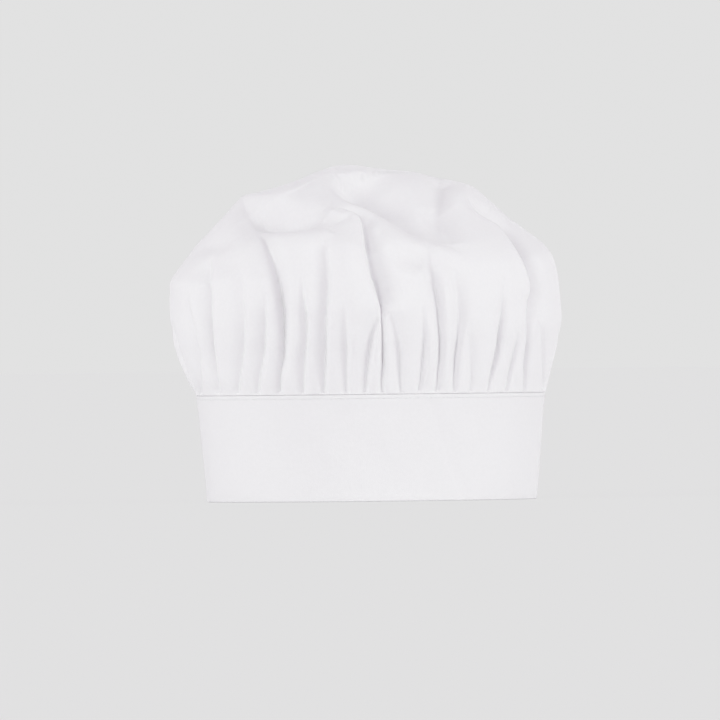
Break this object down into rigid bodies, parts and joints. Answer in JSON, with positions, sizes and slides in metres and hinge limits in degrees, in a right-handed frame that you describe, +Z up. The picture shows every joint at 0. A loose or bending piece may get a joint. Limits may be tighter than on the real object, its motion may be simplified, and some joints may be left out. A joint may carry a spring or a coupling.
{
  "type": "chef toque",
  "caption": "White cloth chef's hat with a puffy crown pleated into a stiffened upright band, closed at the back by a hook-and-loop strap that peels open.",
  "frame": {"origin": "centre of the head opening, in the plane of the hem", "axes": "+Z up through the crown, -Y the front of the hat, +Y the back with its closure, +X the hat's left side"},
  "size_m": [0.2538, 0.2306, 0.217],
  "materials": {
    "crown_cloth": "soft white twill, lightly creased",
    "band_cloth": "pressed white twill",
    "interlining": "stiff unwoven sheet",
    "thread": "white spun sewing thread",
    "loop_tape": "napped loop pile",
    "hook_tape": "woven tape set with fine hooks"
  },
  "bodies": {
    "hat": {"crown": "crown_cloth", "crown_overlock_thread": "thread", "band_strip": "band_cloth", "band_interlining": "interlining", "top_stitch_thread": "thread", "loop_tape": "loop_tape", "loop_tape_thread": "thread", "tab_seam_thread": "thread"},
    "strap": {"closure_tab": "band_cloth", "tab_interlining": "interlining", "tab_edge_thread": "thread", "hook_tape": "hook_tape", "hook_tape_thread": "thread"}
  },
  "joints": [
    {"name": "closure_peel", "type": "hinge", "parent": "hat", "child": "strap", "pos_m": [0.01588, 0.10458, 0.0345], "axis": [0, 0, -1], "range_deg": [0, 150]}
  ]
}
